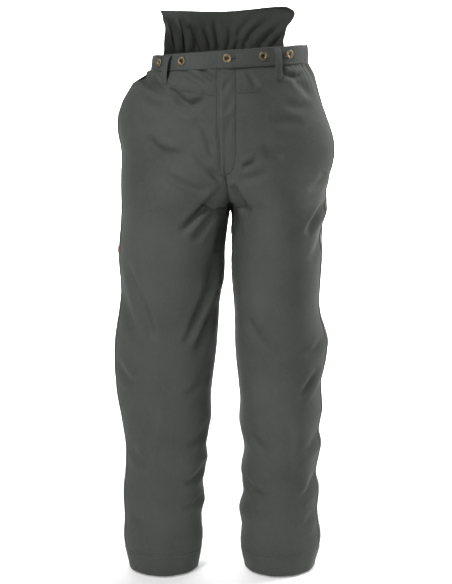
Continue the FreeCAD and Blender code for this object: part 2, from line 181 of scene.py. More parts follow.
# ---- folds ---------------------------------------------------------------
# Each crease: (points as (X, Z), half-width, depth). Valleys have a positive depth.
FRONT_CREASES = [
    # hip and belly, on the wearer's right
    ([(-180, -52), (-148, -59), (-110, -80)], 8, 8.5),
    ([(-170, -88), (-144, -102), (-116, -110)], 9, 3.4),
    ([(-164, -46), (-150, -58), (-140, -76)], 5, 2.6),
    ([(-60, -124), (-44, -140), (-32, -160)], 7, 2.2),
    ([(-100, -130), (-76, -142), (-48, -144)], 9, 1.8),
    ([(-176, -128), (-150, -140), (-120, -142)], 10, 2.0),
    ([(-150, -40), (-138, -52), (-128, -70)], 5, 3.4),
    ([(-106, -68), (-72, -98), (-36, -93)], 7, 7.5),
    ([(-116, -58), (-108, -68), (-96, -84)], 5, 3.0),
    ([(-96, -84), (-76, -112), (-46, -112)], 7, 2.6),
    ([(-50, -31), (-32, -46), (-13, -62)], 5, 4.0),
    ([(-84, -38), (-62, -50), (-34, -66)], 6, 3.6),
    ([(-150, -160), (-124, -190), (-70, -197)], 10, 6.5),
    ([(-134, -200), (-112, -212), (-82, -214)], 8, 2.2),
    ([(-120, -228), (-73, -257), (-32, -268)], 10, 4.8),
    ([(-62, -188), (-44, -206), (-28, -218)], 8, 2.6),
    ([(-36, -216), (-22, -230), (-8, -246)], 6, 3.8),
    ([(-40, -150), (-30, -172), (-24, -200)], 7, 2.4),
    # crotch and thighs
    ([(-2, -261), (-48, -307), (-86, -344)], 7, 7.5),
    ([(-12, -290), (-40, -330), (-62, -366)], 8, 3.6),
    ([(4, -300), (-5, -350), (-14, -392)], 9, 6.5),
    ([(-10, -380), (-24, -424), (-30, -470)], 11, 3.0),
    ([(-195, -405), (-153, -518), (-140, -560)], 9, 5.5),
    ([(-206, -470), (-186, -530), (-168, -574)], 9, 2.4),
    ([(-20, -436), (-50, -506), (-78, -572)], 8, 6.5),
    ([(-24, -500), (-44, -556), (-58, -600)], 9, 3.2),
    ([(12, -253), (28, -282), (44, -312)], 6, 5.5),
    ([(8, -286), (18, -320), (28, -360)], 8, 4.0),
    ([(32, -221), (48, -212), (63, -205)], 6, 4.0),
    ([(26, -240), (52, -240), (84, -228)], 8, 2.6),
    ([(70, -179), (90, -192), (112, -201)], 9, 3.6),
    ([(198, -290), (178, -322), (157, -350)], 7, 6.0),
    ([(200, -346), (184, -380), (166, -404)], 8, 2.8),
    ([(196, -236), (184, -252), (162, -266)], 8, 3.0),
    # hip, on the wearer's left
    ([(108, -42), (128, -48), (154, -46)], 5, 4.0),
    ([(124, -46), (142, -64), (160, -86)], 6, 2.6),
    ([(136, -44), (154, -66), (168, -94)], 6, 1.8),
    ([(112, -98), (138, -108), (168, -108)], 9, 1.8),
    ([(40, -40), (54, -58), (60, -72)], 6, 2.0),
    ([(84, -124), (116, -134), (146, -130)], 10, 2.4),
    # knees
    ([(40, -518), (62, -552), (84, -584)], 9, 3.8),
    ([(188, -626), (166, -660), (146, -684)], 8, 4.4),
    ([(196, -560), (180, -586), (158, -598)], 8, 3.0),
    ([(-218, -610), (-200, -640), (-176, -652)], 9, 3.0),
    ([(-40, -640), (-60, -668), (-84, -678)], 9, 2.4),
    # lower legs
    ([(-136, -676), (-158, -770), (-176, -860)], 12, 2.6),
    ([(-158, -676), (-180, -760), (-196, -850)], 12, 2.2),
    ([(-196, -790), (-178, -812), (-152, -820)], 9, 2.6),
    ([(-34, -740), (-52, -776), (-74, -790)], 9, 3.0),
    ([(-40, -830), (-58, -858), (-82, -868)], 8, 3.6),
    ([(-44, -900), (-64, -916), (-88, -914)], 7, 2.8),
    ([(-196, -930), (-170, -948), (-140, -944)], 10, 2.0),
    ([(-60, -990), (-84, -1000), (-110, -994)], 8, 1.8),
    ([(44, -744), (62, -780), (90, -798)], 9, 3.2),
    ([(40, -858), (58, -884), (84, -892)], 8, 3.8),
    ([(46, -922), (62, -940), (86, -942)], 7, 3.0),
    ([(190, -760), (172, -790), (146, -802)], 9, 3.0),
    ([(188, -848), (172, -884), (150, -900)], 8, 3.8),
    ([(184, -930), (170, -956), (146, -964)], 8, 3.0),
    ([(120, -700), (132, -780), (124, -860)], 13, 2.0),
]
BACK_CREASES = [
    ([(0, -250), (-34, -284), (-76, -300)], 11, 4.4),
    ([(2, -262), (-22, -306), (-58, -346)], 9, 3.6),
    ([(4, -254), (40, -288), (84, -300)], 11, 4.4),
    ([(8, -266), (30, -308), (62, -344)], 9, 3.4),
    ([(-150, -246), (-120, -270), (-84, -284)], 11, 2.6),
    ([(152, -240), (124, -268), (86, -282)], 11, 2.6),
    ([(-160, -340), (-120, -372), (-78, -384)], 12, 2.2),
    ([(160, -344), (118, -372), (70, -386)], 12, 2.2),
    ([(-196, -560), (-140, -592), (-60, -566)], 10, 4.2),
    ([(-200, -600), (-132, -630), (-50, -610)], 10, 5.0),
    ([(-196, -650), (-136, -668), (-60, -652)], 11, 3.6),
    ([(188, -556), (122, -590), (44, -566)], 10, 4.2),
    ([(192, -604), (120, -632), (46, -608)], 10, 5.0),
    ([(186, -652), (124, -672), (48, -654)], 11, 3.6),
    ([(-190, -760), (-150, -800), (-120, -880)], 13, 2.2),
    ([(178, -770), (150, -806), (112, -872)], 13, 2.2),
    ([(-180, -900), (-140, -930), (-80, -920)], 12, 2.4),
    ([(170, -910), (130, -934), (70, -924)], 12, 2.4),
    ([(-176, -980), (-136, -996), (-90, -986)], 10, 2.2),
    ([(168, -976), (128, -996), (70, -988)], 10, 2.2),
]
CREASES = {"front": FRONT_CREASES, "back": BACK_CREASES}
FOLD_DEPTH = {"front": 1.45, "back": 1.5}


def smooth_line(points, steps=14):
    """The same few points joined by a smooth curve."""
    pts = np.array(points, float)
    ts = np.linspace(0, len(pts) - 1, steps)
    ends = np.vstack([2 * pts[0] - pts[1], pts, 2 * pts[-1] - pts[-2]])
    out = []
    for t in ts:
        i = min(int(t), len(pts) - 2)
        f = t - i
        a, b, c, d = ends[i], ends[i + 1], ends[i + 2], ends[i + 3]
        out.append(0.5 * (2 * b + (c - a) * f + (2 * a - 5 * b + 4 * c - d) * f**2
                          + (3 * b - a - 3 * c + d) * f**3))
    return np.array(out)


def crease_relief(x, z, creases):
    """Inward and outward push of every crease at the points (x, z)."""
    total = np.zeros_like(x)
    for points, width, deep in creases:
        line = smooth_line(points)
        best = np.full_like(x, 1e9)
        where = np.zeros_like(x)
        sign = np.zeros_like(x)
        for k, (a, b) in enumerate(zip(line[:-1], line[1:])):
            step = b - a
            length = step @ step
            t = ((x - a[0]) * step[0] + (z - a[1]) * step[1]) / length
            clipped = np.clip(t, 0, 1)
            dx = x - (a[0] + clipped * step[0])
            dz = z - (a[1] + clipped * step[1])
            dist = np.hypot(dx, dz)
            near = dist < best
            best = np.where(near, dist, best)
            where = np.where(near, (k + clipped) / (len(line) - 1), where)
            sign = np.where(near, np.sign(step[0] * dz - step[1] * dx), sign)
        fade = np.sin(np.pi * np.clip(where, 0.0, 1.0)) ** 0.7
        end_fall = np.exp(-((best / (4 * width)) ** 2))
        d = best / width
        valley = np.exp(-d**2)
        shoulder = 0.5 * np.exp(-((d - 1.9) ** 2) / 0.9) * np.where(sign > 0, 1.15, 0.7)
        total += -deep * (valley - shoulder) * fade * end_fall
    return total


def ripple(a, b, seed):
    """Soft unevenness of hanging cloth: a few crossing waves, the same on every run."""
    rng = np.random.default_rng(seed)
    total = np.zeros_like(a)
    for _ in range(7):
        ka, kb = rng.normal(0, 1, 2) * (1 / 38.0, 1 / 85.0)
        total += np.sin(a * ka + b * kb + rng.uniform(0, 6.28))
    return total / 3.2


def gathers(across, below, pitch, reach, seed):
    """Small vertical pleats under elastic, dying out with the distance below it."""
    rng = np.random.default_rng(seed)
    phase = rng.uniform(0, 6.28, 3)
    wave = (np.sin(across * 6.283 / pitch + phase[0] + 0.02 * below)
            + 0.6 * np.sin(across * 6.283 / (pitch * 1.7) + phase[1])
            + 0.35 * np.sin(across * 6.283 / (pitch * 0.6) + phase[2]))
    return wave * np.exp(-below / reach)


# ---- mesh building -------------------------------------------------------
def grid_normals(grid):
    du = np.gradient(grid, axis=1)
    dv = np.gradient(grid, axis=0)
    n = np.cross(du, dv)
    return n / np.maximum(np.linalg.norm(n, axis=2, keepdims=True), 1e-9)


def facing(grid, outward):
    """The grid's normals, flipped if they point away from the stated way out."""
    normals = grid_normals(grid)
    return normals if np.sum(normals * outward) > 0 else -normals


def add_piece(name, verts, faces, uvs=None):
    """A smooth mesh object; verts are in metres and uvs, if any, are one per vertex."""
    mesh = bpy.data.meshes.new(name)
    mesh.from_pydata([tuple(v) for v in verts], [], faces)
    if uvs is not None:
        layer = mesh.uv_layers.new(name="pattern")
        loops = np.zeros(len(mesh.loops), dtype=np.int32)
        mesh.loops.foreach_get("vertex_index", loops)
        layer.data.foreach_set("uv", np.asarray(uvs, float)[loops].ravel())
    mesh.polygons.foreach_set("use_smooth", [True] * len(mesh.polygons))
    mesh.update()
    piece = bpy.data.objects.new(name, mesh)
    bpy.context.scene.collection.objects.link(piece)
    return piece


def tube_faces(rings, size):
    """Faces of a closed tube: a ring of this many points after another, and a cap at each end."""
    faces = []
    for i in range(rings - 1):
        for k in range(size):
            k2 = (k + 1) % size
            faces.append((i * size + k, (i + 1) * size + k, (i + 1) * size + k2, i * size + k2))
    faces.append(tuple(range(size)))
    faces.append(tuple(reversed(range((rings - 1) * size, rings * size))))
    return faces


def thick_sheet(name, grid, normals, thickness):
    """A closed mesh: the grid, a copy set in by the thickness, and a rim."""
    rows, cols = grid.shape[:2]
    count = rows * cols
    verts = np.concatenate([grid.reshape(-1, 3), (grid - normals * thickness).reshape(-1, 3)]) * MM
    ids = np.arange(count).reshape(rows, cols)
    outer = np.stack([ids[:-1, :-1], ids[:-1, 1:], ids[1:, 1:], ids[1:, :-1]], axis=-1).reshape(-1, 4)
    flip = np.sum(np.cross(np.gradient(grid, axis=1), np.gradient(grid, axis=0)) * normals) < 0
    around = np.concatenate([ids[0, :], ids[1:, -1], ids[-1, -2::-1], ids[-2:0:-1, 0]])
    after = np.roll(around, -1)
    rim = np.stack([around, around + count, after + count, after], axis=-1)
    faces = np.concatenate([outer, outer[:, ::-1] + count, rim])
    if flip:
        faces = faces[:, ::-1]
    steps_u = np.linalg.norm(np.diff(grid, axis=1, prepend=grid[:, :1]), axis=2)
    steps_v = np.linalg.norm(np.diff(grid, axis=0, prepend=grid[:1]), axis=2)
    flat = np.stack([np.cumsum(steps_u, axis=1), np.cumsum(steps_v, axis=0)], axis=2).reshape(-1, 2) * MM
    return add_piece(name, verts, faces.tolist(), np.concatenate([flat, flat]))


def spaced(first, last, pitch, dense=()):
    """Positions from first to last at about this pitch, closer together at the dense places."""
    count = max(2, int(abs(last - first) / pitch) + 1)
    base = list(np.linspace(first, last, count))
    for place in dense:
        base += [place + d for d in (-3, -2, -1, 0, 1, 2, 3)]
    low, high = min(first, last), max(first, last)
    return sorted({round(v, 2) for v in base if low <= v <= high}, reverse=last < first)


def column_shares(count):
    """Shares from one edge to the other, closer together at both edges."""
    t = np.linspace(0, 1, count)
    return t - 0.11 * np.sin(2 * np.pi * t)


def panel_grid(side, face, heights, end_x, columns=104):
    """Undisturbed surface of one leg panel from the side seam to end_x(height) or the inseam."""
    grid = []
    for z in heights:
        _, _, width = half_section(side, z)
        first = SEAM_GAP / 2 / width
        middle = along(CENTRE, z)
        last = seam_angle(side, z, middle + SIDES[side] * end_x(z))
        angles = first + (last - first) * column_shares(columns)
        grid.append([point_at(side, face, z, angle) for angle in angles])
    return np.array(grid)


# Uneven outline of each leg: (height, push outwards) at the side seam and at the inseam
OUTLINE = {
    "right": {
        "side": [(-33, 0), (-58, 5), (-84, 1), (-150, 2), (-196, -4), (-240, 0), (-330, -2), (-400, 1),
                 (-470, -3), (-560, 3), (-640, 1), (-700, 3), (-790, -3), (-850, -1), (-900, 3), (-960, -2),
                 (-1010, 2), (-1062, -1)],
        "inner": [(-300, 0), (-380, -2), (-440, 2), (-520, -2), (-590, 2), (-690, -1), (-745, 4), (-790, -4),
                  (-830, 3), (-872, -5), (-915, 3), (-950, -3), (-1000, 2), (-1062, -2)],
    },
    "left": {
        "side": [(-33, 0), (-52, 3), (-90, -1), (-140, 1), (-220, 5), (-270, -2), (-300, 3), (-352, -4),
                 (-420, 1), (-520, -3), (-575, 5), (-622, 3), (-660, -5), (-720, 2), (-764, -4), (-800, 3),
                 (-858, -6), (-900, 3), (-946, -4), (-1000, 3), (-1062, -1)],
        "inner": [(-300, 0), (-360, -3), (-430, 2), (-520, 0), (-600, 3), (-700, -2), (-750, 4), (-806, -5),
                  (-850, 3), (-895, -6), (-934, 3), (-972, -3), (-1016, 3), (-1062, -2)],
    },
}


def edge_distance(grid):
    """Distance along each row from both of its ends."""
    run = np.zeros(grid.shape[:2])
    run[:, 1:] = np.cumsum(np.linalg.norm(np.diff(grid, axis=1), axis=2), axis=1)
    return run, run[:, -1:] - run


def centre_seam_distance(z):
    return SEAM_GAP / 2


def left_front_edge(z):
    return max(SEAM_GAP / 2, fly_curve(z)) if z > FLY_BOTTOM else SEAM_GAP / 2


# each leg panel's unfolded grid, its normals and its relief, by side and face
BASES = {}


def leg_panel(side, face, end_x=centre_seam_distance):
    """One panel from waistband to hem with its folds; returns the piece and its final grid."""
    marks = [HEM_Z + HEM_FOLD, FLY_BOTTOM + 2]
    if end_x is centre_seam_distance:
        marks = [HEM_Z + HEM_FOLD, FLY_BOTTOM, CROTCH_Z]
    heights = spaced(-BAND_HEIGHT + 1.0, HEM_Z, 3.6, dense=marks)
    grid = panel_grid(side, face, heights, end_x)
    outward = outward_of(side, grid)
    normals = facing(grid, outward)
    x, z = grid[..., 0], grid[..., 2]
    from_side, from_centre = edge_distance(grid)
    relief = FOLD_DEPTH[face] * crease_relief(x, z, CREASES[face])
    seed = {"right": 3, "left": 8}[side] + {"front": 0, "back": 20}[face]
    hang = np.clip((-z - 60) / 200, 0.25, 1)
    relief += 1.7 * ripple(x, z, seed) * hang
    below = np.maximum(0, -z - BAND_HEIGHT)
    if face == "back":
        strength = 1.5 * np.clip(from_centre / 25, 0.2, 1)
    else:
        strength = 2.6 * np.exp(-from_side / 46)
    relief += strength * gathers(from_side, below, pitch=11, reach=30, seed=seed + 5)
    # the cloth tucks under the waistband, and dips into the seams at both edges
    relief -= 1.2 * np.exp(-below / 5)
    for distance in (from_side, from_centre):
        relief -= 0.9 * np.exp(-((distance / 1.5) ** 2))
        pucker = 0.35 * np.sin(z / 5.5 + np.sin(z / 17.0) * 2)
        relief += pucker * np.exp(-distance / 9)
    edge_hold = np.clip(np.minimum(from_side, from_centre) / 9, 0, 1)
    relief *= 0.45 + 0.55 * edge_hold
    for key, distance in (("side", from_side), ("inner", from_centre)):
        push = np.array([along(OUTLINE[side][key], h) for h in heights])
        if key == "inner":
            push = push * np.array([1.0 if h < CROTCH_Z else 0.0 for h in heights])
        relief += 0.8 * push[:, None] * np.exp(-((distance / 62) ** 2))
    # double hem: the turned-up cloth stands a little proud and puckers at its stitching
    hem = 1 / (1 + np.exp(np.clip((z - (HEM_Z + HEM_FOLD - 1)) / 1.2, -60, 60)))
    relief += 0.7 * hem + 0.5 * hem * np.sin(from_side / 7.0 + seed)
    relief -= 0.8 * np.exp(-(((z - HEM_Z - HEM_FOLD) / 1.6) ** 2))
    BASES[side, face] = (grid, normals, relief)
    final = grid + normals * relief[..., None]
    final_normals = facing(final, outward)
    name = f"{side}_{face}_leg"
    return thick_sheet(name, final, final_normals, CLOTH), final


def strip_on(name, path, width, height):
    """A narrow raised strip of sewn-down cloth along a path of (location, normal)."""
    profile = [(-0.5, 0.0), (-0.47, 0.7), (-0.36, 1.0), (0.36, 1.0), (0.47, 0.7), (0.5, 0.0)]
    verts, faces = [], []
    spots = [p for p, _ in path]
    for i, (p, n) in enumerate(path):
        ahead = spots[min(i + 1, len(spots) - 1)] - spots[max(i - 1, 0)]
        across = ahead.cross(n).normalized()
        for u, h in profile:
            verts.append(p + across * (u * width * MM) + n * ((h * height - 0.15) * MM))
    step = len(profile)
    for i in range(len(path) - 1):
        for k in range(step - 1):
            a = i * step + k
            faces.append((a, a + 1, a + 1 + step, a + step))
        faces.append((i * step + step - 1, i * step, (i + 1) * step, (i + 1) * step + step - 1))
    faces.append(tuple(range(step)))
    faces.append(tuple(reversed(range((len(path) - 1) * step, len(path) * step))))
    return add_piece(name, verts, faces)


def tree_of(piece):
    mesh = piece.data
    return BVHTree.FromPolygons([v.co for v in mesh.vertices], [p.vertices for p in mesh.polygons])


def resample(points, pitch):
    """Evenly spaced points along a line through the given ones."""
    pts = [Vector(p) for p in points]
    out, carry = [pts[0]], 0.0
    for a, b in zip(pts, pts[1:]):
        length = (b - a).length
        at = pitch - carry
        while at <= length:
            out.append(a + (b - a) * (at / length))
            at += pitch
        carry = length - (at - pitch)
    return out


def cast_path(trees, line, face, pitch=2.0):
    """Drops a line of (X, Z) onto the cloth from the front or the back."""
    way = 1 if face == "front" else -1
    path = []
    for spot in resample([(x * MM, 0, z * MM) for x, z in line], pitch * MM):
        hits = []
        for tree in trees:
            hit = tree.ray_cast(Vector((spot.x, -way * 0.5, spot.z)), Vector((0, way, 0)))
            if hit[0]:
                hits.append(hit)
        if hits:
            best = min(hits, key=lambda h: h[3])
            normal = best[1] if best[1].y * way < 0 else -best[1]
            path.append((best[0], normal))
    return path


def turned_out(normal, side, spot):
    """The normal, flipped if it points into the leg."""
    outward = np.array((spot[0] - SIDES[side] * LEG_AXIS_X, spot[1], 0))
    return -normal if normal @ outward < 0 else normal


def leg_path(spots, normals, side):
    return [(Vector(p * MM), Vector(turned_out(n, side, p))) for p, n in zip(spots, normals)]


def grid_path(grid, side, column, z_top, z_bottom):
    """Path down one column of a panel's grid."""
    z = grid[:, column, 2]
    inside = (z_bottom <= z) & (z <= z_top)
    return leg_path(grid[inside, column], grid_normals(grid)[inside, column], side)


def stitches(name, paths, pitch=3.4, length=2.5, radius=0.34, lift=0.12):
    """Thread stitches, each a small tapered bead lying along its path."""
    verts, faces = [], []
    ring = 5
    for path in paths:
        if len(path) < 2:
            continue
        spots = resample([p for p, _ in path], pitch * MM)
        normals = [n for _, n in path]
        for i, p in enumerate(spots[:-1]):
            share = i / max(1, len(spots) - 1) * (len(normals) - 1)
            n = normals[int(share)]
            t = (spots[i + 1] - p)
            if t.length < 1e-6 or t.length > 4 * pitch * MM:
                continue
            t.normalize()
            b = t.cross(n).normalized()
            base = len(verts)
            for s, r in ((-0.5, 0.25), (-0.3, 0.9), (0.3, 0.9), (0.5, 0.25)):
                centre = p + t * (s * length * MM) + n * (lift * MM)
                for k in range(ring):
                    a = 2 * math.pi * k / ring
                    verts.append(centre + (b * math.cos(a) + n * math.sin(a)) * (radius * r * MM))
            for s in range(3):
                for k in range(ring):
                    k2 = (k + 1) % ring
                    faces.append((base + s * ring + k, base + s * ring + k2,
                                  base + (s + 1) * ring + k2, base + (s + 1) * ring + k))
            faces.append(tuple(base + k for k in reversed(range(ring))))
            faces.append(tuple(base + 3 * ring + k for k in range(ring)))
    return add_piece(name, verts, faces)


def offset_path(path, distance):
    """The same path moved sideways on the surface."""
    spots = [p for p, _ in path]
    moved = []
    for i, (p, n) in enumerate(path):
        ahead = spots[min(i + 1, len(spots) - 1)] - spots[max(i - 1, 0)]
        moved.append((p + ahead.cross(n).normalized() * (distance * MM), n))
    return moved


def path_through(spots, normals):
    return [(Vector(p * MM), Vector(n)) for p, n in zip(spots, normals)]


def raised(path, lift):
    return [(p + n * (lift * MM), n) for p, n in path]


# ---- materials -----------------------------------------------------------
def new_material(name):
    material = bpy.data.materials.new(name)
    material.use_nodes = True
    return material, material.node_tree, material.node_tree.nodes["Principled BSDF"]


def settle(node, **values):
    """Sets a node's sockets; an underscore in a name stands for a space."""
    for name, value in values.items():
        node.inputs[name.replace("_", " ")].default_value = value
    return node


def bump(tree, height, strength, distance, under=None):
    node = settle(tree.nodes.new("ShaderNodeBump"), Strength=strength, Distance=distance)
    tree.links.new(height, node.inputs["Height"])
    if under is not None:
        tree.links.new(under, node.inputs["Normal"])
    return node.outputs["Normal"]


def mix_colour(tree, factor, first, second):
    mix = tree.nodes.new("ShaderNodeMix")
    mix.data_type = "RGBA"
    tree.links.new(factor, mix.inputs[0])
    for socket, value in ((mix.inputs[6], first), (mix.inputs[7], second)):
        if isinstance(value, tuple):
            socket.default_value = (*value, 1)
        else:
            tree.links.new(value, socket)
    return mix.outputs[2]


def noise(tree, coords, scale, detail=3.0, rough=0.55):
    node = settle(tree.nodes.new("ShaderNodeTexNoise"), Scale=scale, Detail=detail, Roughness=rough)
    tree.links.new(coords, node.inputs["Vector"])
    return node.outputs["Fac"]


def ramp(tree, value, low, high, out_low=0.0, out_high=1.0):
    node = settle(tree.nodes.new("ShaderNodeMapRange"),
                  From_Min=low, From_Max=high, To_Min=out_low, To_Max=out_high)
    tree.links.new(value, node.inputs["Value"])
    return node.outputs["Result"]


def stretched(tree, coords, scale):
    node = settle(tree.nodes.new("ShaderNodeMapping"), Scale=scale)
    tree.links.new(coords, node.inputs["Vector"])
    return node.outputs["Vector"]


def cloth_material(name, colour, use_pattern=True, weave=1.0, sheen=0.03, rough=0.78, worn=0.06):
    """Twill cloth: fine diagonal weave, slubby yarns, uneven dye, and soft wear."""
    material, tree, shader = new_material(name)
    coord = tree.nodes.new("ShaderNodeTexCoord")
    pattern = coord.outputs["UV"] if use_pattern else coord.outputs["Object"]
    solid = coord.outputs["Object"]
    dark = tuple(c * 0.86 for c in colour)
    light = tuple(min(1.0, c * (1.14 + worn)) for c in colour)
    patches = ramp(tree, noise(tree, solid, 9.0, 4), 0.3, 0.72)
    base = mix_colour(tree, patches, dark, light)
    yarn = ramp(tree, noise(tree, stretched(tree, pattern, (900, 60, 1)), 1.0, 2), 0.35, 0.7)
    weft = ramp(tree, noise(tree, stretched(tree, pattern, (70, 1100, 1)), 1.0, 2), 0.35, 0.7)
    slubs = tree.nodes.new("ShaderNodeMath")
    slubs.operation = "MULTIPLY"
    tree.links.new(yarn, slubs.inputs[0])
    tree.links.new(weft, slubs.inputs[1])
    faded = mix_colour(tree, slubs.outputs[0], base, tuple(min(1.0, c * 1.30) for c in colour))
    tree.links.new(faded, shader.inputs["Base Color"])
    wave = tree.nodes.new("ShaderNodeTexWave")
    wave.wave_type = "BANDS"
    wave.bands_direction = "DIAGONAL"
    settle(wave, Scale=420.0 * weave, Distortion=1.2, Detail=1.0)
    tree.links.new(pattern, wave.inputs["Vector"])
    woven = bump(tree, wave.outputs["Fac"], 0.35, 0.0002)
    crumpled = bump(tree, noise(tree, solid, 95.0, 5, 0.6), 0.30, 0.0011, under=woven)
    tree.links.new(crumpled, shader.inputs["Normal"])
    roughness = ramp(tree, slubs.outputs[0], 0, 1, rough, rough - 0.12)
    tree.links.new(roughness, shader.inputs["Roughness"])
    settle(shader, Sheen_Weight=sheen, Sheen_Roughness=0.45, Specular_IOR_Level=0.28)
    return material


def thread_material(name, colour):
    material, tree, shader = new_material(name)
    coord = tree.nodes.new("ShaderNodeTexCoord")
    twist = tree.nodes.new("ShaderNodeTexWave")
    twist.bands_direction = "DIAGONAL"
    settle(twist, Scale=900.0)
    tree.links.new(coord.outputs["Object"], twist.inputs["Vector"])
    shade = mix_colour(tree, twist.outputs["Fac"], tuple(c * 0.7 for c in colour), colour)
    tree.links.new(shade, shader.inputs["Base Color"])
    settle(shader, Roughness=0.55, Sheen_Weight=0.2)
    return material


def metal_material(name, bright, dark, rough=0.38):
    """Antiqued brass: bright where it is rubbed, brown in the recesses, with fine scratches."""
    material, tree, shader = new_material(name)
    coord = tree.nodes.new("ShaderNodeTexCoord")
    solid = coord.outputs["Object"]
    geometry = tree.nodes.new("ShaderNodeNewGeometry")
    edge = ramp(tree, geometry.outputs["Pointiness"], 0.44, 0.56)
    stain = ramp(tree, noise(tree, solid, 320.0, 5), 0.32, 0.68)
    aged = mix_colour(tree, stain, dark, bright)
    colour = mix_colour(tree, edge, aged, bright)
    tree.links.new(colour, shader.inputs["Base Color"])
    scratches = noise(tree, stretched(tree, solid, (900, 4000, 900)), 1.0, 3)
    tree.links.new(ramp(tree, scratches, 0.3, 0.7, rough - 0.08, rough + 0.16), shader.inputs["Roughness"])
    tree.links.new(bump(tree, noise(tree, solid, 1500.0, 4), 0.25, 0.00012), shader.inputs["Normal"])
    settle(shader, Metallic=1.0)
    return material


TWILL = (0.0500, 0.0540, 0.0492)
MATERIALS = {
    "shell_twill": cloth_material("shell_twill_cloth", TWILL),
    "shell_band": cloth_material("shell_band_cloth", tuple(c * 0.97 for c in TWILL)),
    "shell_small": cloth_material("shell_small_cloth", tuple(c * 0.95 for c in TWILL), use_pattern=False),
    "flap_cloth": cloth_material("flap_cloth", tuple(c * 0.60 for c in TWILL), rough=0.86),
    "shell_lining": cloth_material("lining_cloth", (0.045, 0.047, 0.046), weave=1.6),
    "lining_frame": cloth_material("lining_frame_cloth", (0.045, 0.047, 0.046), use_pattern=False),
    "cut_pad": cloth_material("cut_pad_cloth", (0.14, 0.14, 0.125), weave=0.5, sheen=0.1, rough=0.9),
    "elastic": cloth_material("elastic_cloth", (0.03, 0.031, 0.031), use_pattern=False, weave=0.8),
    "orange_tab": cloth_material("orange_tab_cloth", (0.50, 0.10, 0.035), use_pattern=False, weave=1.2),
    "zip_tape": cloth_material("zip_tape_cloth", (0.05, 0.053, 0.05), use_pattern=False, weave=2.0),
    "thread": thread_material("sewing_thread", (0.034, 0.037, 0.034)),
    "brass_button": metal_material("antique_brass", (0.26, 0.205, 0.13), (0.070, 0.053, 0.034), 0.45),
    "tack": metal_material("tarnished_tack", (0.060, 0.047, 0.032), (0.018, 0.014, 0.010), 0.5),
    "zip_brass": metal_material("zip_brass_metal", (0.62, 0.47, 0.22), (0.28, 0.18, 0.07), 0.32),
}


def dress(piece, material):
    piece.data.materials.clear()
    piece.data.materials.append(MATERIALS[material])


# ---- legs ----------------------------------------------------------------
# each leg panel's final grid and its object, by side and face
GRIDS = {}
LEG_PIECES = {}


def blend_knee(piece):
    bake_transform(piece)


def make_legs():
    for side in SIDES:
        for face in ("front", "back"):
            end_x = left_front_edge if (side, face) == ("left", "front") else centre_seam_distance
            piece, grid = leg_panel(side, face, end_x)
            GRIDS[side, face] = grid
            LEG_PIECES[side, face] = piece
            dress(piece, "shell_twill")
            blend_knee(piece)
            nodes = [f"{side}_{face}_thigh_panel", f"{side}_{face}_shin_panel", f"{side}_{face}_hem_facing"]
            if face == "back":
                nodes.append(f"{side}_back_knee_panel")
            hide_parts(*nodes)


# ---- fly lap -------------------------------------------------------------
def blend_fly(piece):
    """Bakes the piece's placement into its mesh; the fly's turning axis is worked out, but nothing turns
    with it.
    """
    axis = np.array((20.0, 0.0, 238.0))
    axis /= np.linalg.norm(axis)
    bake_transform(piece)


def make_fly_lap():
    heights = spaced(-BAND_HEIGHT + 0.5, FLY_BOTTOM + 0.5, 3.4)
    grid = []
    for z in heights:
        high = fly_curve(z) + 0.1
        low = FLY_EDGE_X + 5.0 * max(0.0, (-222 - z) / 14.0) ** 2
        row = []
        for x in low + (high - low) * column_shares(26):
            side = side_of(x - half_section("left", z)[0])
            row.append(point_at(side, "front", z, angle_for(side, z, x)))
        grid.append(row)
    grid = np.array(grid)
    normals = facing(grid, TO_FRONT)
    x, z = grid[..., 0], grid[..., 2]
    from_edge, from_stitch = edge_distance(grid)
    share = from_stitch / np.maximum(from_edge + from_stitch, 0.01)
    relief = LAP_RAISE * np.clip(share * 1.25, 0, 1) ** 0.8
    relief -= 1.0 * np.exp(-((from_edge / 1.6) ** 2)) - 0.4 * np.exp(-(((from_edge - 4) / 3) ** 2))
    relief += 0.45 * np.sin(z / 7.0 + np.sin(z / 21.0) * 2.2) * np.exp(-from_edge / 8)
    relief += crease_relief(x, z, FRONT_CREASES) * np.clip(from_edge / 14, 0, 0.6)
    relief += crease_relief(x, z, [([(14, -52), (2, -66), (-8, -84)], 5, 1.6),
                                   ([(16, -86), (6, -104), (-6, -112)], 6, 1.5),
                                   ([(12, -120), (4, -146), (-2, -178)], 6, 1.3)])
    final = grid + normals * relief[..., None]
    final_normals = facing(final, TO_FRONT)
    piece = thick_sheet("fly_lap_cloth", final, final_normals, thickness=1.2)
    dress(piece, "shell_twill")
    blend_fly(piece)
    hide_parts("fly_lap", "fly_facing")
    return piece


# ---- waistband -----------------------------------------------------------
def band_columns(start_x, end_x):
    """Seats around the waist from start_x round the right side and the back to end_x."""
    seats = []
    for x in np.arange(start_x, 0.0, -2.6):
        seats.append(("left", "front", angle_for("left", BUTTON_Z, x)))
    centre = angle_for("right", BUTTON_Z, -0.05)
    for angle in np.linspace(centre, 0, 92):
        seats.append(("right", "front", angle))
    for side, first, last, count in (("right", 0, math.pi / 2, 92), ("left", math.pi / 2, 0, 98)):
        for angle in np.linspace(first, last, count)[1:]:
            seats.append((side, "back", angle))
    last = angle_for("left", BUTTON_Z, end_x)
    for angle in np.linspace(0, last, 84)[1:]:
        seats.append(("left", "front", angle))
    return seats


def tab_columns(start_x, end_x):
    places = np.arange(start_x, end_x, -1.6)
    return [(side_of(x), "front", angle_for(side_of(x), BUTTON_Z, x)) for x in places]


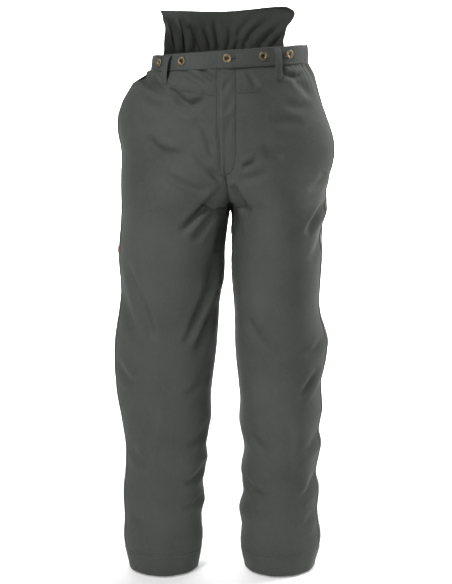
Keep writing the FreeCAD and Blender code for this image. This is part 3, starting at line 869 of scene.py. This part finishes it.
TAB_RAISE = 4.2              # the tab stands this far off the waist over the button
TAB_JOIN = 2.2               # and this far where it joins the band
TAB_RUFFLE = 0.12
BAND_END_X = 24.0
BAND_PROFILE = [(0.0, 0.0), (0.9, -0.4), (1.5, -1.6), (1.3, -3.0), (1.7, -6.0), (2.0, -11.0), (2.1, -16.5),
                (2.0, -22.0), (1.7, -27.0), (1.3, -30.0), (1.6, -31.6), (1.0, -32.8), (0.0, -33.4),
                (-1.2, -32.8), (-1.7, -28.0), (-1.8, -16.5), (-1.7, -5.0), (-1.2, -0.6)]


def eased(value, low, high):
    """0 below low, 1 above high, smooth between."""
    t = max(0.0, min(1.0, (value - low) / (high - low)))
    return t * t * (3 - 2 * t)


def band_mesh(name, seats, offset, ruffle):
    """A closed tube swept along the seats, with the band's rounded section."""
    verts, uvs = [], []
    run = 0.0
    before = None
    for side, face, angle in seats:
        here = point_at(side, face, BUTTON_Z, angle)
        if before is not None:
            run += np.linalg.norm(here - before)
        before = here
        loose = ruffle(side, face, angle)
        for out, z in BAND_PROFILE:
            seat = point_at(side, face, z, angle)
            normal = normal_at(side, face, z, angle)
            wave = math.sin(run * 6.283 / 8.6 + 1.6 * math.sin(run / 19.0) + 0.03 * z)
            wave *= 0.75 + 0.45 * math.sin(run / 13.0 + 2.0)
            wave += 0.45 * math.sin(run * 6.283 / 5.1 + z * 0.08)
            middle = math.sin(math.pi * min(1.0, max(0.0, -z / BAND_HEIGHT)))
            lift = out + offset(seat[0]) + loose * wave * (0.45 + 0.55 * middle)
            sag = loose * 0.7 * math.sin(run / 9.0 + 1.0)
            verts.append((seat + normal * lift + np.array((0, 0, sag))) * MM)
            uvs.append((run * MM, z * MM))
    return add_piece(name, verts, tube_faces(len(seats), len(BAND_PROFILE)), uvs)


def side_ruffle(side, face, angle):
    """Elastic gathers: strong at the sides and across the back, none at the front."""
    if face == "back":
        return 0.85
    return 1.1 * max(0.0, 1 - angle / 0.76) ** 0.5


BUTTONHOLE = (7.0, 21.0)
BUTTONHOLE_HALF_HEIGHT = 0.8


def cut_buttonhole(tab):
    """A slit right through the tab, beside the waist button."""
    bpy.ops.mesh.primitive_cube_add()
    cutter = bpy.context.active_object
    start, end = BUTTONHOLE
    cutter.scale = ((end - start) / 2 * MM, 20 * MM, BUTTONHOLE_HALF_HEIGHT * MM)
    cutter.location = ((start + end) / 2 * MM, DEPTH["front"][0][1] * -MM, BUTTON_Z * MM)
    bpy.context.view_layer.update()
    change = tab.modifiers.new("buttonhole", "BOOLEAN")
    change.operation = "DIFFERENCE"
    change.object = cutter
    bpy.context.view_layer.objects.active = tab
    bpy.ops.object.modifier_apply(modifier=change.name)
    bpy.data.objects.remove(cutter)


def make_waistband():
    def band_offset(x):
        return TAB_JOIN * (1 - eased(x, BAND_END_X, 62.0)) if x > 21.0 else 0.0

    band = band_mesh("waistband", band_columns(UNDER_LAP_X, BAND_END_X), band_offset, side_ruffle)
    dress(band, "shell_band")
    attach(band, TROUSERS)
    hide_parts("waistband_front_right", "waistband_front_left",
                "waistband_back_right", "waistband_back_left")

    def tab_offset(x):
        return TAB_JOIN + (TAB_RAISE - TAB_JOIN) * (1 - eased(x, 8.0, 24.0))

    tab = band_mesh("waistband_tab_cloth", tab_columns(26.0, -12.6), tab_offset, lambda *seat: TAB_RUFFLE)
    cut_buttonhole(tab)
    dress(tab, "shell_band")
    blend_fly(tab)
    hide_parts("waistband_tab")
    return band, tab


# ---- kidney flap ---------------------------------------------------------
FLAP_BASE_X = 124.0
# outline of the turned-up flap, sharp at the wearer's right corner and rounded at the left
FLAP_TOP = [(-132, 78), (-100, 77), (-60, 76), (-20, 77), (20, 79), (60, 83), (96, 87), (120, 86.5),
            (132, 83)]
FLAP_RIGHT = [(0.0, -124), (0.3, -122), (0.62, -120), (0.85, -123), (1.0, -129)]
FLAP_LEFT = [(0.0, 119), (0.3, 119), (0.5, 125), (0.72, 136), (0.86, 140), (0.95, 136), (1.0, 126)]


def make_flap():
    rows, columns = 30, 150
    grid = np.zeros((rows, columns, 3))
    for r in range(rows):
        share = r / (rows - 1)
        right_end = rising(FLAP_RIGHT, share)
        left_end = rising(FLAP_LEFT, share)
        for c in range(columns):
            t = c / (columns - 1)
            x = right_end + (left_end - right_end) * t
            nominal = -FLAP_BASE_X + 2 * FLAP_BASE_X * t
            side = side_of(nominal)
            angle = angle_for(side, 0.0, nominal)
            seat = point_at(side, "back", 0.0, angle, 1.5)
            lean = 8.0 * share**1.6 - 3.0 * math.sin(math.pi * share)
            height = -3.0 + (rising(FLAP_TOP, x) + 3.0) * share
            grid[r, c] = (x, seat[1] + lean, height + BAND_TILT * nominal * (1 - share))
    normals = facing(grid, TO_BACK)
    x, z = grid[..., 0], grid[..., 2]
    share = np.linspace(0, 1, rows)[:, None] * np.ones((1, columns))
    relief = 2.0 * gathers(x + 8 * np.sin(z / 30), z + 3, pitch=17, reach=24, seed=41)
    relief += 2.4 * np.sin(x / 24.0 + 1.3) * share * (1 - 0.35 * share)
    folds = [([(-124, 66), (-106, 40), (-100, 0)], 6, 5.0), ([(-96, 62), (-84, 36), (-80, 0)], 6, 5.5),
             ([(-76, 50), (-60, 28), (-52, 0)], 6, 6.5), ([(-46, 44), (-34, 22), (-30, -2)], 5, 4.5),
             ([(-22, 60), (-16, 30), (-12, -2)], 6, 4.5), ([(26, 20), (24, 10), (20, -2)], 5, 4.0),
             ([(92, 62), (56, 36), (36, 0)], 7, 6.5), ([(124, 60), (92, 32), (66, 0)], 6, 6.0),
             ([(128, 44), (108, 22), (92, 0)], 6, 5.0), ([(64, 70), (40, 48), (22, 20)], 7, 3.6),
             ([(8, 48), (10, 24), (6, -2)], 5, 4.0)]
    relief -= crease_relief(x, z, folds)
    relief *= np.clip((z + 4) / 6, 0.3, 1)
    final = grid + normals * relief[..., None]
    final_normals = facing(final, TO_BACK)
    piece = thick_sheet("kidney_flap_cloth", final, final_normals, thickness=2.6)
    dress(piece, "flap_cloth")
    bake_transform(piece)
    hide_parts("kidney_flap", "kidney_flap_lining")


# ---- buttons -------------------------------------------------------------
def lathe(name, profile, seat, outward, turns=40):
    verts, faces = [], []
    turn = Vector((0, 0, 1)).rotation_difference(Vector(outward))
    for k in range(turns):
        a = 2 * math.pi * k / turns
        for r, h in profile:
            local = Vector((r * math.cos(a), r * math.sin(a), h)) * MM
            verts.append(Vector(seat) + turn @ local)
    size = len(profile)
    for k in range(turns):
        k2 = (k + 1) % turns
        for i in range(size):
            i2 = (i + 1) % size
            faces.append((k * size + i, k2 * size + i, k2 * size + i2, k * size + i2))
    return add_piece(name, verts, faces)


# (radius, height) round one side of the button head: its neck, rolled rim and hollow middle
HEAD_PROFILE = [(1.56, 0.5), (3.0, 0.5), (3.2, 0.9), (3.2, 1.9), (7.4, 1.95), (8.2, 2.3), (8.5, 3.0),
                (8.45, 3.8), (8.1, 4.6), (7.4, 5.1), (6.7, 5.25), (5.7, 5.2), (4.7, 4.9), (3.9, 4.4),
                (3.3, 3.5), (2.9, 2.5), (2.4, 2.1), (1.56, 2.0)]
WAIST_BUTTON_LIFT = 3.2


def make_buttons():
    for joint in JOINTS.values():
        if not joint.get("continuous"):
            continue
        name = joint["child"]
        lift = WAIST_BUTTON_LIFT if name == "waist_button" else 0.0
        profile = [(r, h + lift) for r, h in HEAD_PROFILE]
        head = lathe(name + "_head", profile, joint["pos_m"], joint["axis"])
        dress(head, "brass_button")
        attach(head, name)
        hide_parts(name)


# ---- belt loops ----------------------------------------------------------
LOOPS = {"belt_loop_front_right": ("right", "front", -104.0),
         "belt_loop_front_left": ("left", "front", 96.0),
         "belt_loop_back_right": ("right", "back", -112.0),
         "belt_loop_back_left": ("left", "back", 118.0),
         "belt_loop_centre_back": ("left", "back", 0.5)}
LOOP_HALF = 6.9
LOOP_OUT = [(-1.5, 2.2), (-4.0, 3.4), (-7.0, 6.0), (-11.0, 8.0), (-18.0, 8.8), (-26.0, 8.6), (-36.0, 7.4),
            (-45.0, 5.8), (-51.0, 4.2), (-55.0, 3.2), (-58.0, 3.0)]


def make_loop(name, side, face, x):
    """A folded strap that stands off the waistband and is bar-tacked at both ends."""
    middle = angle_for(side, -BAND_HEIGHT / 2, x)
    outward = normal_at(side, face, -BAND_HEIGHT / 2, middle)
    across = np.cross(outward, (0, 0, 1.0))
    top = point_at(side, face, LOOP_OUT[0][0], angle_for(side, LOOP_OUT[0][0], x))
    bottom = point_at(side, face, LOOP_OUT[-1][0], angle_for(side, LOOP_OUT[-1][0], x))
    line = smooth_line([(z, out) for z, out in LOOP_OUT], 34)
    section = [(-1.0, -0.2), (-1.02, 0.5), (-0.92, 1.0), (-0.5, 1.05), (0.0, 0.9), (0.5, 1.05), (0.92, 1.0),
               (1.02, 0.5), (1.0, -0.2), (0.6, -0.5), (-0.6, -0.5)]
    span = LOOP_OUT[-1][0] - LOOP_OUT[0][0]
    verts = []
    for z, out in line:
        share = (z - LOOP_OUT[0][0]) / span
        base = top + (bottom - top) * share
        base = top + outward * ((base - top) @ outward) + np.array((0, 0, base[2] - top[2]))
        for u, h in section:
            verts.append((base + across * (u * LOOP_HALF) + outward * (out + h)) * MM)
    piece = add_piece(name + "_strap", verts, tube_faces(len(line), len(section)))
    dress(piece, "shell_small")
    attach(piece, TROUSERS)
    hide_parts(name)
    tree = tree_of(piece)
    rows = []
    for z_rel in (2.5, 4.0):
        for place in (top, bottom):
            sign = -1 if place is top else 1
            line_points = []
            for u in np.linspace(-0.8, 0.8, 7):
                start = place + across * (u * LOOP_HALF) + np.array((0, 0, sign * z_rel)) + outward * 30
                hit = tree.ray_cast(Vector(start * MM), Vector(-outward))
                if hit[0]:
                    line_points.append((hit[0], Vector(outward)))
            rows.append(line_points)
    return rows


# ---- inner layers --------------------------------------------------------
LINING_INSET = 12.6          # inside the outer cloth
LINING_KEEP = 15.0           # clear of the centre seam
LINING_TOP = -35.0
LINING_FOOT = KNEE_Z + 112
PAD_TOP = -98.0
PAD_FOOT = HEM_Z + 62
PAD_DROP = 2.4               # gap between the outer cloth's lowest folds and the pad
PAD_THICK = 3.2


def outward_of(side, grid):
    outward = np.zeros_like(grid)
    outward[..., 0] = grid[..., 0] - SIDES[side] * LEG_AXIS_X
    outward[..., 1] = grid[..., 1]
    return outward


def make_lining(side, face):
    """A loose lining inside the outer cloth, pressed in where that creases."""
    grid, shell = [], []
    for z in spaced(LINING_TOP, LINING_FOOT, 7.0):
        middle = half_section(side, z)[0]
        share_fly = max(0.0, min(1.0, (z + 250.0) / 35.0))
        room = LINING_KEEP + (20.0 * share_fly if face == "front" else 0.0)
        last = min(angle_for(side, z, middle + SIDES[side] * room, LINING_INSET), math.pi - 0.004)
        angles = np.linspace(0.002, last, 56)
        grid.append([point_at(side, face, z, angle, LINING_INSET) for angle in angles])
        shell.append([point_at(side, face, z, angle) for angle in angles])
    grid, shell = np.array(grid), np.array(shell)
    normals = facing(grid, outward_of(side, grid))
    relief = FOLD_DEPTH[face] * crease_relief(shell[..., 0], shell[..., 2], CREASES[face])
    final = grid + normals * np.minimum(0, relief)[..., None]
    piece = thick_sheet(f"{side}_{face}_lining_cloth", final, normals, thickness=0.8)
    dress(piece, "shell_lining")
    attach(piece, TROUSERS)
    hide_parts(f"{side}_{face}_lining")


def lowest_nearby(values, reach=3):
    """Smallest value within reach cells of each one."""
    padded = np.pad(values, reach, mode="edge")
    rows, cols = values.shape
    lowest = values
    for r in range(2 * reach + 1):
        for c in range(2 * reach + 1):
            lowest = np.minimum(lowest, padded[r:r + rows, c:c + cols])
    return lowest


def make_pad(side):
    """The cut pad lies inside the front's cloth and is pressed in by its folds."""
    shell, normals, relief = BASES[side, "front"]
    heights = shell[:, 0, 2]
    rows = [r for r in range(0, shell.shape[0], 2) if PAD_FOOT < heights[r] < PAD_TOP]
    from_side, from_centre = edge_distance(shell)
    middle = shell.shape[0] // 2
    wide = [c for c in range(0, shell.shape[1], 2)
            if from_side[middle, c] > 7 and from_centre[middle, c] > 14]
    part = np.ix_(rows, wide)
    drop = lowest_nearby(relief) - PAD_DROP
    grid = shell[part] + normals[part] * drop[part][..., None]
    pad = thick_sheet(f"{side}_cut_pad", grid, normals[part], PAD_THICK)
    dress(pad, "cut_pad")
    blend_knee(pad)
    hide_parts(f"{side}_thigh_pad", f"{side}_shin_pad")


def make_inner_layers():
    for side in SIDES:
        for face in ("front", "back"):
            make_lining(side, face)
        make_pad(side)


# ---- pockets and tab -----------------------------------------------------
POCKET_TOP = -112.0
POCKET_FOOT = -250.0


def make_rear_pocket():
    """The patch pocket on the wearer's right; returns its lines of stitching."""
    heights = spaced(POCKET_TOP, POCKET_FOOT, 4.0)
    columns = 34
    tree = tree_of(LEG_PIECES["right", "back"])
    grid = np.zeros((len(heights), columns, 3))
    for r, z in enumerate(heights):
        for c in range(columns):
            angle = math.radians(48 + 30 * c / (columns - 1))
            seat = point_at("right", "back", z, angle)
            normal = normal_at("right", "back", z, angle)
            hit = tree.ray_cast(Vector((seat + normal * 40) * MM), Vector(-normal))
            grid[r, c] = np.array(hit[0]) / MM + normal * 0.6 if hit[0] else seat + normal * 1.5
    normals = facing(grid, TO_BACK)
    piece = thick_sheet("rear_pocket_cloth", grid + normals * 0.9, normals, thickness=1.3)
    dress(piece, "shell_twill")
    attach(piece, TROUSERS)
    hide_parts("rear_pocket")
    final = grid + normals * 1.0
    edges = []
    for inset in (1, 3):
        for cells in (np.s_[1:-1, inset], np.s_[1:-1, -1 - inset], np.s_[-1 - inset, 1:-1]):
            edges.append(path_through(final[cells], normals[cells]))
    mouth = np.s_[5, 1:-1]
    return edges + [path_through(final[mouth], normals[mouth])]


def make_side_tab():
    """The woven tab in the right side seam, a small folded loop of ribbon."""
    low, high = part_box("side_tab")
    centre = [(a + b) / 2 for a, b in zip(low, high)]
    x, y, z = (value / MM for value in centre)
    rows, columns = 12, 8
    grid = np.zeros((rows, columns, 3))
    for r in range(rows):
        for c in range(columns):
            u, v = c / (columns - 1) - 0.5, r / (rows - 1) - 0.5
            grid[r, c] = (x - 0.9 - 0.9 * math.cos(math.pi * u), y + 8.6 * u,
                          z + 15 * v + 0.2 * math.sin(9 * u))
    normals = facing(grid, np.array((-1.0, 0, 0)))
    piece = thick_sheet("side_tab_ribbon", grid, normals, thickness=0.8)
    dress(piece, "orange_tab")
    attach(piece, TROUSERS)
    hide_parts("side_tab")


# ---- seams and stitching -------------------------------------------------
def sewn(name, rows):
    piece = stitches(name, rows)
    dress(piece, "thread")
    return piece


def sew_down(name, paths, width, spread):
    """A numbered raised seam on each path; returns the two rows of stitching on every one."""
    rows = []
    for number, path in enumerate(paths):
        strip = strip_on(f"{name}_{number + 1}", path, width, height=1.0)
        dress(strip, "shell_small")
        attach(strip, TROUSERS)
        rows += [raised(offset_path(path, offset), 0.8) for offset in (-spread, spread)]
    return rows


def make_hip_seams(loop_rows, pocket_rows):
    """Seams above the knees, front and back, and every row of stitching that rides with them."""
    front_trees = {s: tree_of(LEG_PIECES[s, "front"]) for s in SIDES}
    back_trees = {s: tree_of(LEG_PIECES[s, "back"]) for s in SIDES}
    fixed = loop_rows + pocket_rows
    insert_right = cast_path([front_trees["right"]], [(-104, -70), (-60, -76), (-12, -82)], "front")
    insert_left = cast_path([front_trees["left"]], [(21, -76), (48, -76), (70, -73)], "front")
    beside_fly = [(-19, -34), (-19, -120), (-16, -180), (-8, -232)]
    twin_right = cast_path([front_trees["right"]], beside_fly, "front")
    j_line = [(FLY_STITCH_X + 1.5, -34), (FLY_STITCH_X + 1.5, FLY_CURVE_TOP)]
    for step in range(1, 9):
        z = FLY_CURVE_TOP + (FLY_BOTTOM + 1 - FLY_CURVE_TOP) * math.sin(step / 8 * math.pi / 2)
        j_line.append((fly_curve(z) + 1.5, z))
    fly_line = cast_path([front_trees["left"]], j_line, "front")
    front_seams = (insert_right, insert_left, twin_right)
    fixed += sew_down("front_seam", front_seams, width=6.4, spread=2.4) + [fly_line]
    centre_back = cast_path([back_trees["right"]], [(-4, -36), (-4, -250)], "back")
    yoke_lines = [cast_path([back_trees["right"]], [(-176, -66), (-90, -84), (-3, -98)], "back"),
                  cast_path([back_trees["left"]], [(3, -98), (90, -84), (172, -66)], "back")]
    fixed += sew_down("back_seam", [centre_back] + yoke_lines, width=7.0, spread=2.6)
    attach(sewn("stitching_hips", fixed), TROUSERS)


OUTSEAM_TURN = 30.0          # how far the side seam lies round to the front
SEAM_FOOT = HEM_Z + 50


def make_leg_seams():
    """Side seams, inseams and hems."""
    for side in SIDES:
        rows = []
        for face in ("front", "back"):
            grid = GRIDS[side, face]
            lines = [(2, -BAND_HEIGHT - 8), (grid.shape[1] - 3, -320)]
            if face == "back":
                lines.insert(1, (4, -40))
            for column, z_top in lines:
                rows.append(raised(grid_path(grid, side, column, z_top, SEAM_FOOT), 0.1))
            if face == "front":
                from_side = edge_distance(grid)[0]
                column = int(np.argmin(np.abs(from_side[grid.shape[0] // 2] - OUTSEAM_TURN)))
                seam = grid_path(grid, side, column, -BAND_HEIGHT - 20, SEAM_FOOT)
                strip = strip_on(f"{side}_outseam", seam, width=6.0, height=0.9)
                dress(strip, "shell_small")
                blend_knee(strip)
                rows += [raised(offset_path(seam, d), 0.8) for d in (-2.2, 2.2)]
            for level in (HEM_FOLD, HEM_FOLD - 5.0):
                r = int(np.argmin(np.abs(grid[:, grid.shape[1] // 2, 2] - (HEM_Z + level))))
                rows.append(raised(leg_path(grid[r, 1:-1], grid_normals(grid)[r, 1:-1], side), 0.15))
        blend_knee(sewn(f"stitching_{side}_leg", rows))


def edge_rows(tree, seats):
    """Two rows of stitching along the band's edges, dropped onto its cloth."""
    rows = []
    for z in (-3.2, -30.0):
        path = []
        for side, face, angle in seats:
            seat = point_at(side, face, z, angle)
            normal = normal_at(side, face, z, angle)
            hit = tree.ray_cast(Vector((seat + normal * 20) * MM), Vector(-normal))
            if hit[0]:
                path.append((hit[0], Vector(normal)))
        rows.append(path)
    return rows


def make_band_stitching(band, tab):
    rows = edge_rows(tree_of(band), band_columns(UNDER_LAP_X, BAND_END_X))
    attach(sewn("stitching_waistband", rows), TROUSERS)
    tree = tree_of(tab)
    rows = edge_rows(tree, tab_columns(25.0, -11.6))
    rows.append(cast_path([tree], [(-9.5, -4), (-9.5, -30)], "front"))
    around = [2 * math.pi * k / 24 for k in range(25)]
    hole = [(sum(BUTTONHOLE) / 2 + 8.2 * math.cos(a), BUTTON_Z + 2.2 * math.sin(a)) for a in around]
    rows.append(cast_path([tree], hole, "front", pitch=0.8))
    blend_fly(sewn("stitching_tab", rows))


def make_fly_stitching(lap):
    tree = tree_of(lap)
    edge = cast_path([tree], [(FLY_EDGE_X + 2.5, -36), (FLY_EDGE_X + 2.5, -222)], "front")
    inner_x = FLY_STITCH_X - 3.5
    drop = FLY_BOTTOM + 5 - FLY_CURVE_TOP
    curve = [(inner_x * math.cos(t), FLY_CURVE_TOP + drop * math.sin(t)) for t in np.linspace(0.1, 1.45, 8)]
    inner = cast_path([tree], [(inner_x, -36), (inner_x, FLY_CURVE_TOP)] + curve, "front")
    blend_fly(sewn("stitching_fly", [edge, inner]))


# ---- carried-over frame nodes --------------------------------------------
def dress_frame_nodes():
    wanted = {"shell_twill": "shell_small", "shell_lining": "lining_frame", "cut_pad": "cut_pad",
              "elastic": "elastic", "orange_tab": "orange_tab", "zip_tape": "zip_tape",
              "brass_button": "brass_button", "zip_brass": "zip_brass"}
    slots = {s["node"]: s["material_slot"] for s in frame["record"]["subparts"]}
    for name, obj in frame["nodes"].items():
        material = MATERIALS["tack" if "tack" in name else wanted[slots[name]]]
        if not obj.material_slots:
            obj.data.materials.append(material)
        for slot in obj.material_slots:
            slot.material = material


# ---- stage, light and camera ---------------------------------------------
def plain_material(name, value, glow):
    material, _, shader = new_material(name)
    settle(shader, Base_Color=(value, value, value, 1), Roughness=0.9,
           Emission_Color=(1, 1, 1, 1), Emission_Strength=glow)
    return material


def make_stage():
    floor_z = HEM_Z * MM - 0.004
    size, curve, wall = 9.0, 1.5, 3.0
    rows = [(-size, floor_z)] + [(2.5, floor_z)]
    for k in range(1, 13):
        a = math.pi / 2 * k / 12
        rows.append((2.5 + curve * math.sin(a), floor_z + curve * (1 - math.cos(a))))
    rows.append((2.5 + curve, floor_z + wall))
    verts, faces = [], []
    for y, z in rows:
        verts += [(-size, y, z), (size, y, z)]
    for i in range(len(rows) - 1):
        faces.append((2 * i, 2 * i + 1, 2 * i + 3, 2 * i + 2))
    sweep = add_piece("studio_sweep", verts, faces)
    sweep.data.materials.append(plain_material("studio_white", 0.86, 0.24))


def area_light(name, place, target, size, power, spread):
    data = bpy.data.lights.new(name, "AREA")
    data.shape = "RECTANGLE"
    data.size, data.size_y = size
    data.energy = power
    data.spread = math.radians(spread)
    lamp = bpy.data.objects.new(name, data)
    lamp.location = place
    lamp.rotation_euler = (Vector(target) - Vector(place)).to_track_quat("-Z", "Y").to_euler()
    bpy.context.scene.collection.objects.link(lamp)


def make_light():
    world = bpy.data.worlds.new("studio_air")
    bpy.context.scene.world = world
    world.use_nodes = True
    background = world.node_tree.nodes["Background"]
    settle(background, Color=(1, 1, 1, 1))
    # white where the camera sees it, dim as a source of light
    seen = world.node_tree.nodes.new("ShaderNodeLightPath").outputs["Is Camera Ray"]
    strength = ramp(world.node_tree, seen, 0, 1, 0.09, 1.0)
    world.node_tree.links.new(strength, background.inputs["Strength"])
    area_light("key", (-1.0, -1.8, 2.1), (0, 0, -0.45), (0.6, 0.6), power=20, spread=100)
    area_light("front", (-1.1, -2.5, -0.1), (0, 0, -0.36), (0.6, 0.6), power=6.5, spread=90)
    area_light("rim_right", (2.2, 0.9, 0.6), (0.1, 0, -0.5), (0.8, 2.0), power=15, spread=70)
    area_light("floor", (0, 1.9, 2.0), (0, 2.3, -1.1), (4.5, 1.2), power=150, spread=80)
    area_light("backdrop", (0, 1.9, 3.2), (0, 4.0, 0.6), (5.0, 0.8), power=330, spread=80)
    bpy.context.scene.view_settings.view_transform = "Standard"


def make_camera():
    data = bpy.data.cameras.new("camera")
    data.sensor_width = 36.0
    data.lens = 80.5
    camera = bpy.data.objects.new("camera", data)
    camera.location = (0.002, -2.6, 0.0)
    camera.rotation_euler = (math.radians(90 - 10.49), 0, 0)
    bpy.context.scene.collection.objects.link(camera)
    bpy.context.scene.camera = camera


def main():
    make_camera()
    make_stage()
    make_light()
    dress_frame_nodes()
    make_legs()
    lap = make_fly_lap()
    band, tab = make_waistband()
    make_flap()
    make_buttons()
    loop_rows = []
    for name, (side, face, x) in LOOPS.items():
        loop_rows += make_loop(name, side, face, x)
    make_inner_layers()
    pocket_rows = make_rear_pocket()
    make_side_tab()
    make_hip_seams(loop_rows, pocket_rows)
    make_leg_seams()
    make_band_stitching(band, tab)
    make_fly_stitching(lap)


main()
